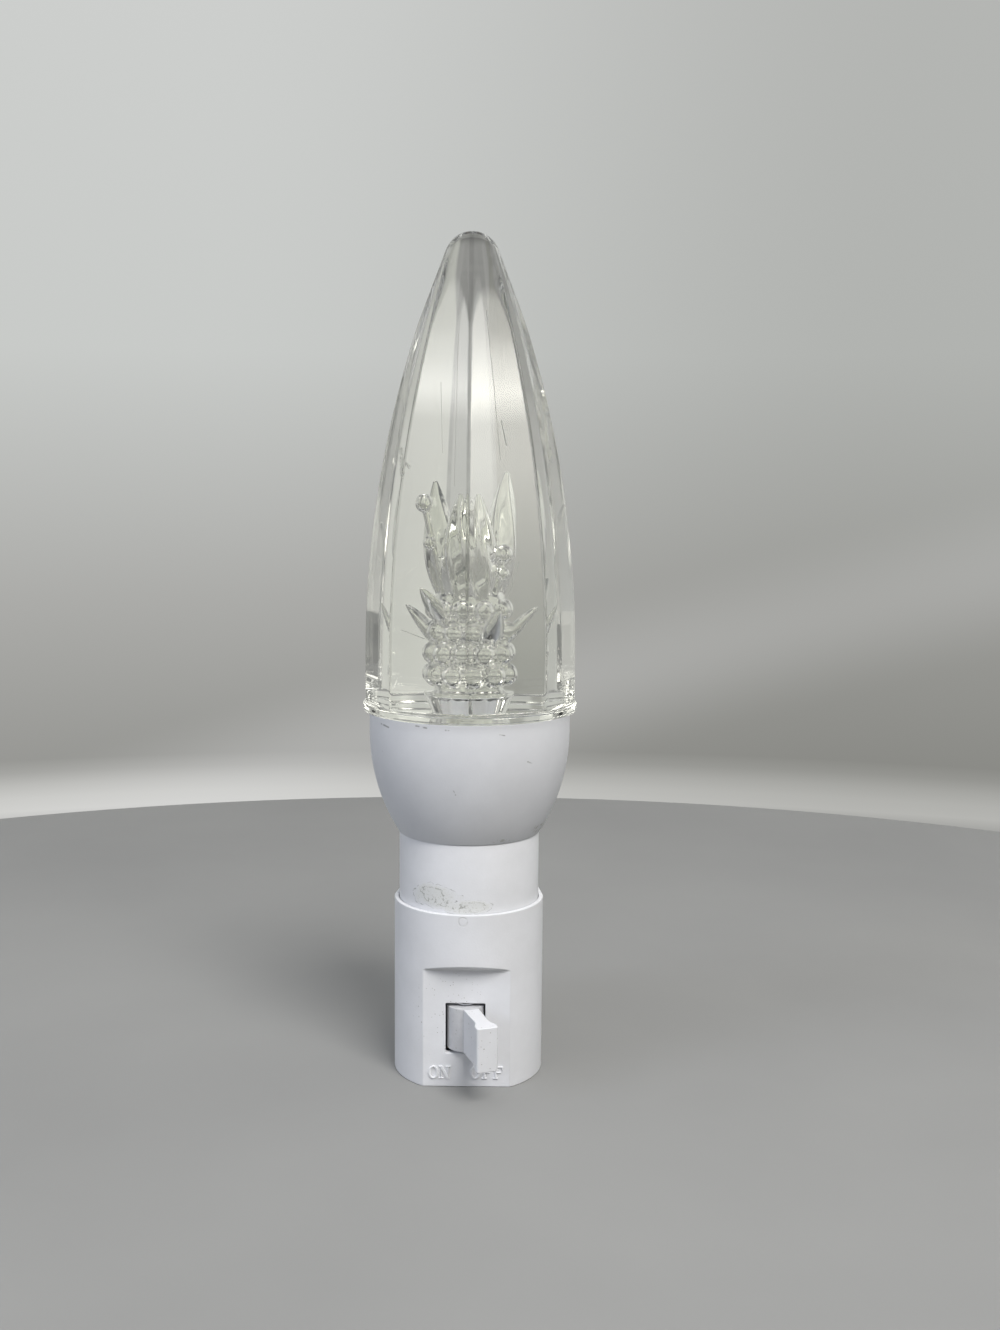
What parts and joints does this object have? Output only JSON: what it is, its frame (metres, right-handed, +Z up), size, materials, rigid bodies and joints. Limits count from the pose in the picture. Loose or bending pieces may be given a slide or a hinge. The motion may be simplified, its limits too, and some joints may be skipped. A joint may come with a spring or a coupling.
{
  "type": "plug in night light",
  "caption": "Plug-in night light: clear eight-sided dome on a white cup and collar, small lamp, turn lever switch and two plug blades.",
  "frame": {"origin": "on the lamp's axis at the foot that the light stands on", "axes": "+Z up along the lamp's axis, -Y to the front with the switch, +Y to the wall along the plug blades, +X to the right seen from the front"},
  "size_m": [0.0424, 0.063, 0.1661],
  "materials": {
    "clear_acrylic": "clear, polished",
    "white_plastic": "moulded, satin gloss",
    "brass": "pressed",
    "plated_blade": "nickel plated",
    "steel": "zinc plated",
    "lamp_glass": "clear",
    "black_glass": "fused glass",
    "solder": "cast"
  },
  "bodies": {
    "base": {"front_shell": "white_plastic", "back_shell": "white_plastic", "case_screws": "steel", "pivot_pin": "steel", "line_contact": "brass", "centre_contact": "brass", "shell_strap": "brass", "socket_shell": "brass", "blade_left": "plated_blade", "blade_right": "plated_blade", "rivets": "brass"},
    "switch": {"switch_lever": "white_plastic", "bridge_contact": "brass"},
    "shade": {"dome": "clear_acrylic", "cup": "white_plastic", "collar": "white_plastic"},
    "lamp_end": {"bulb_insulator": "black_glass", "bulb_contact": "solder"},
    "lamp": {"bulb_glass": "lamp_glass", "bulb_stem": "lamp_glass", "bulb_leads": "steel", "bulb_filament": "steel", "bulb_screw_shell": "brass"}
  },
  "joints": [
    {"name": "switch_turn", "type": "hinge", "parent": "base", "child": "switch", "pos_m": [-0.0002, -0.01, 0.012], "axis": [0, 0, 1], "range_deg": [-38, 0]},
    {"name": "shade_lift", "type": "slide", "parent": "base", "child": "shade", "axis": [0, 0, 1], "range_m": [0, 0.05]},
    {"name": "lamp_rise", "type": "slide", "parent": "base", "child": "lamp_end", "axis": [0, 0, 1], "range_m": [0, 0.0077]},
    {"name": "lamp_turn", "type": "hinge", "parent": "lamp_end", "child": "lamp", "pos_m": [0, 0, 0.0155], "axis": [0, 0, 1], "range_deg": [0, 1080]}
  ],
  "couplings": [
    {"joint": "lamp_rise", "follows": "lamp_turn", "m_per_rad": 0.00040425}
  ]
}
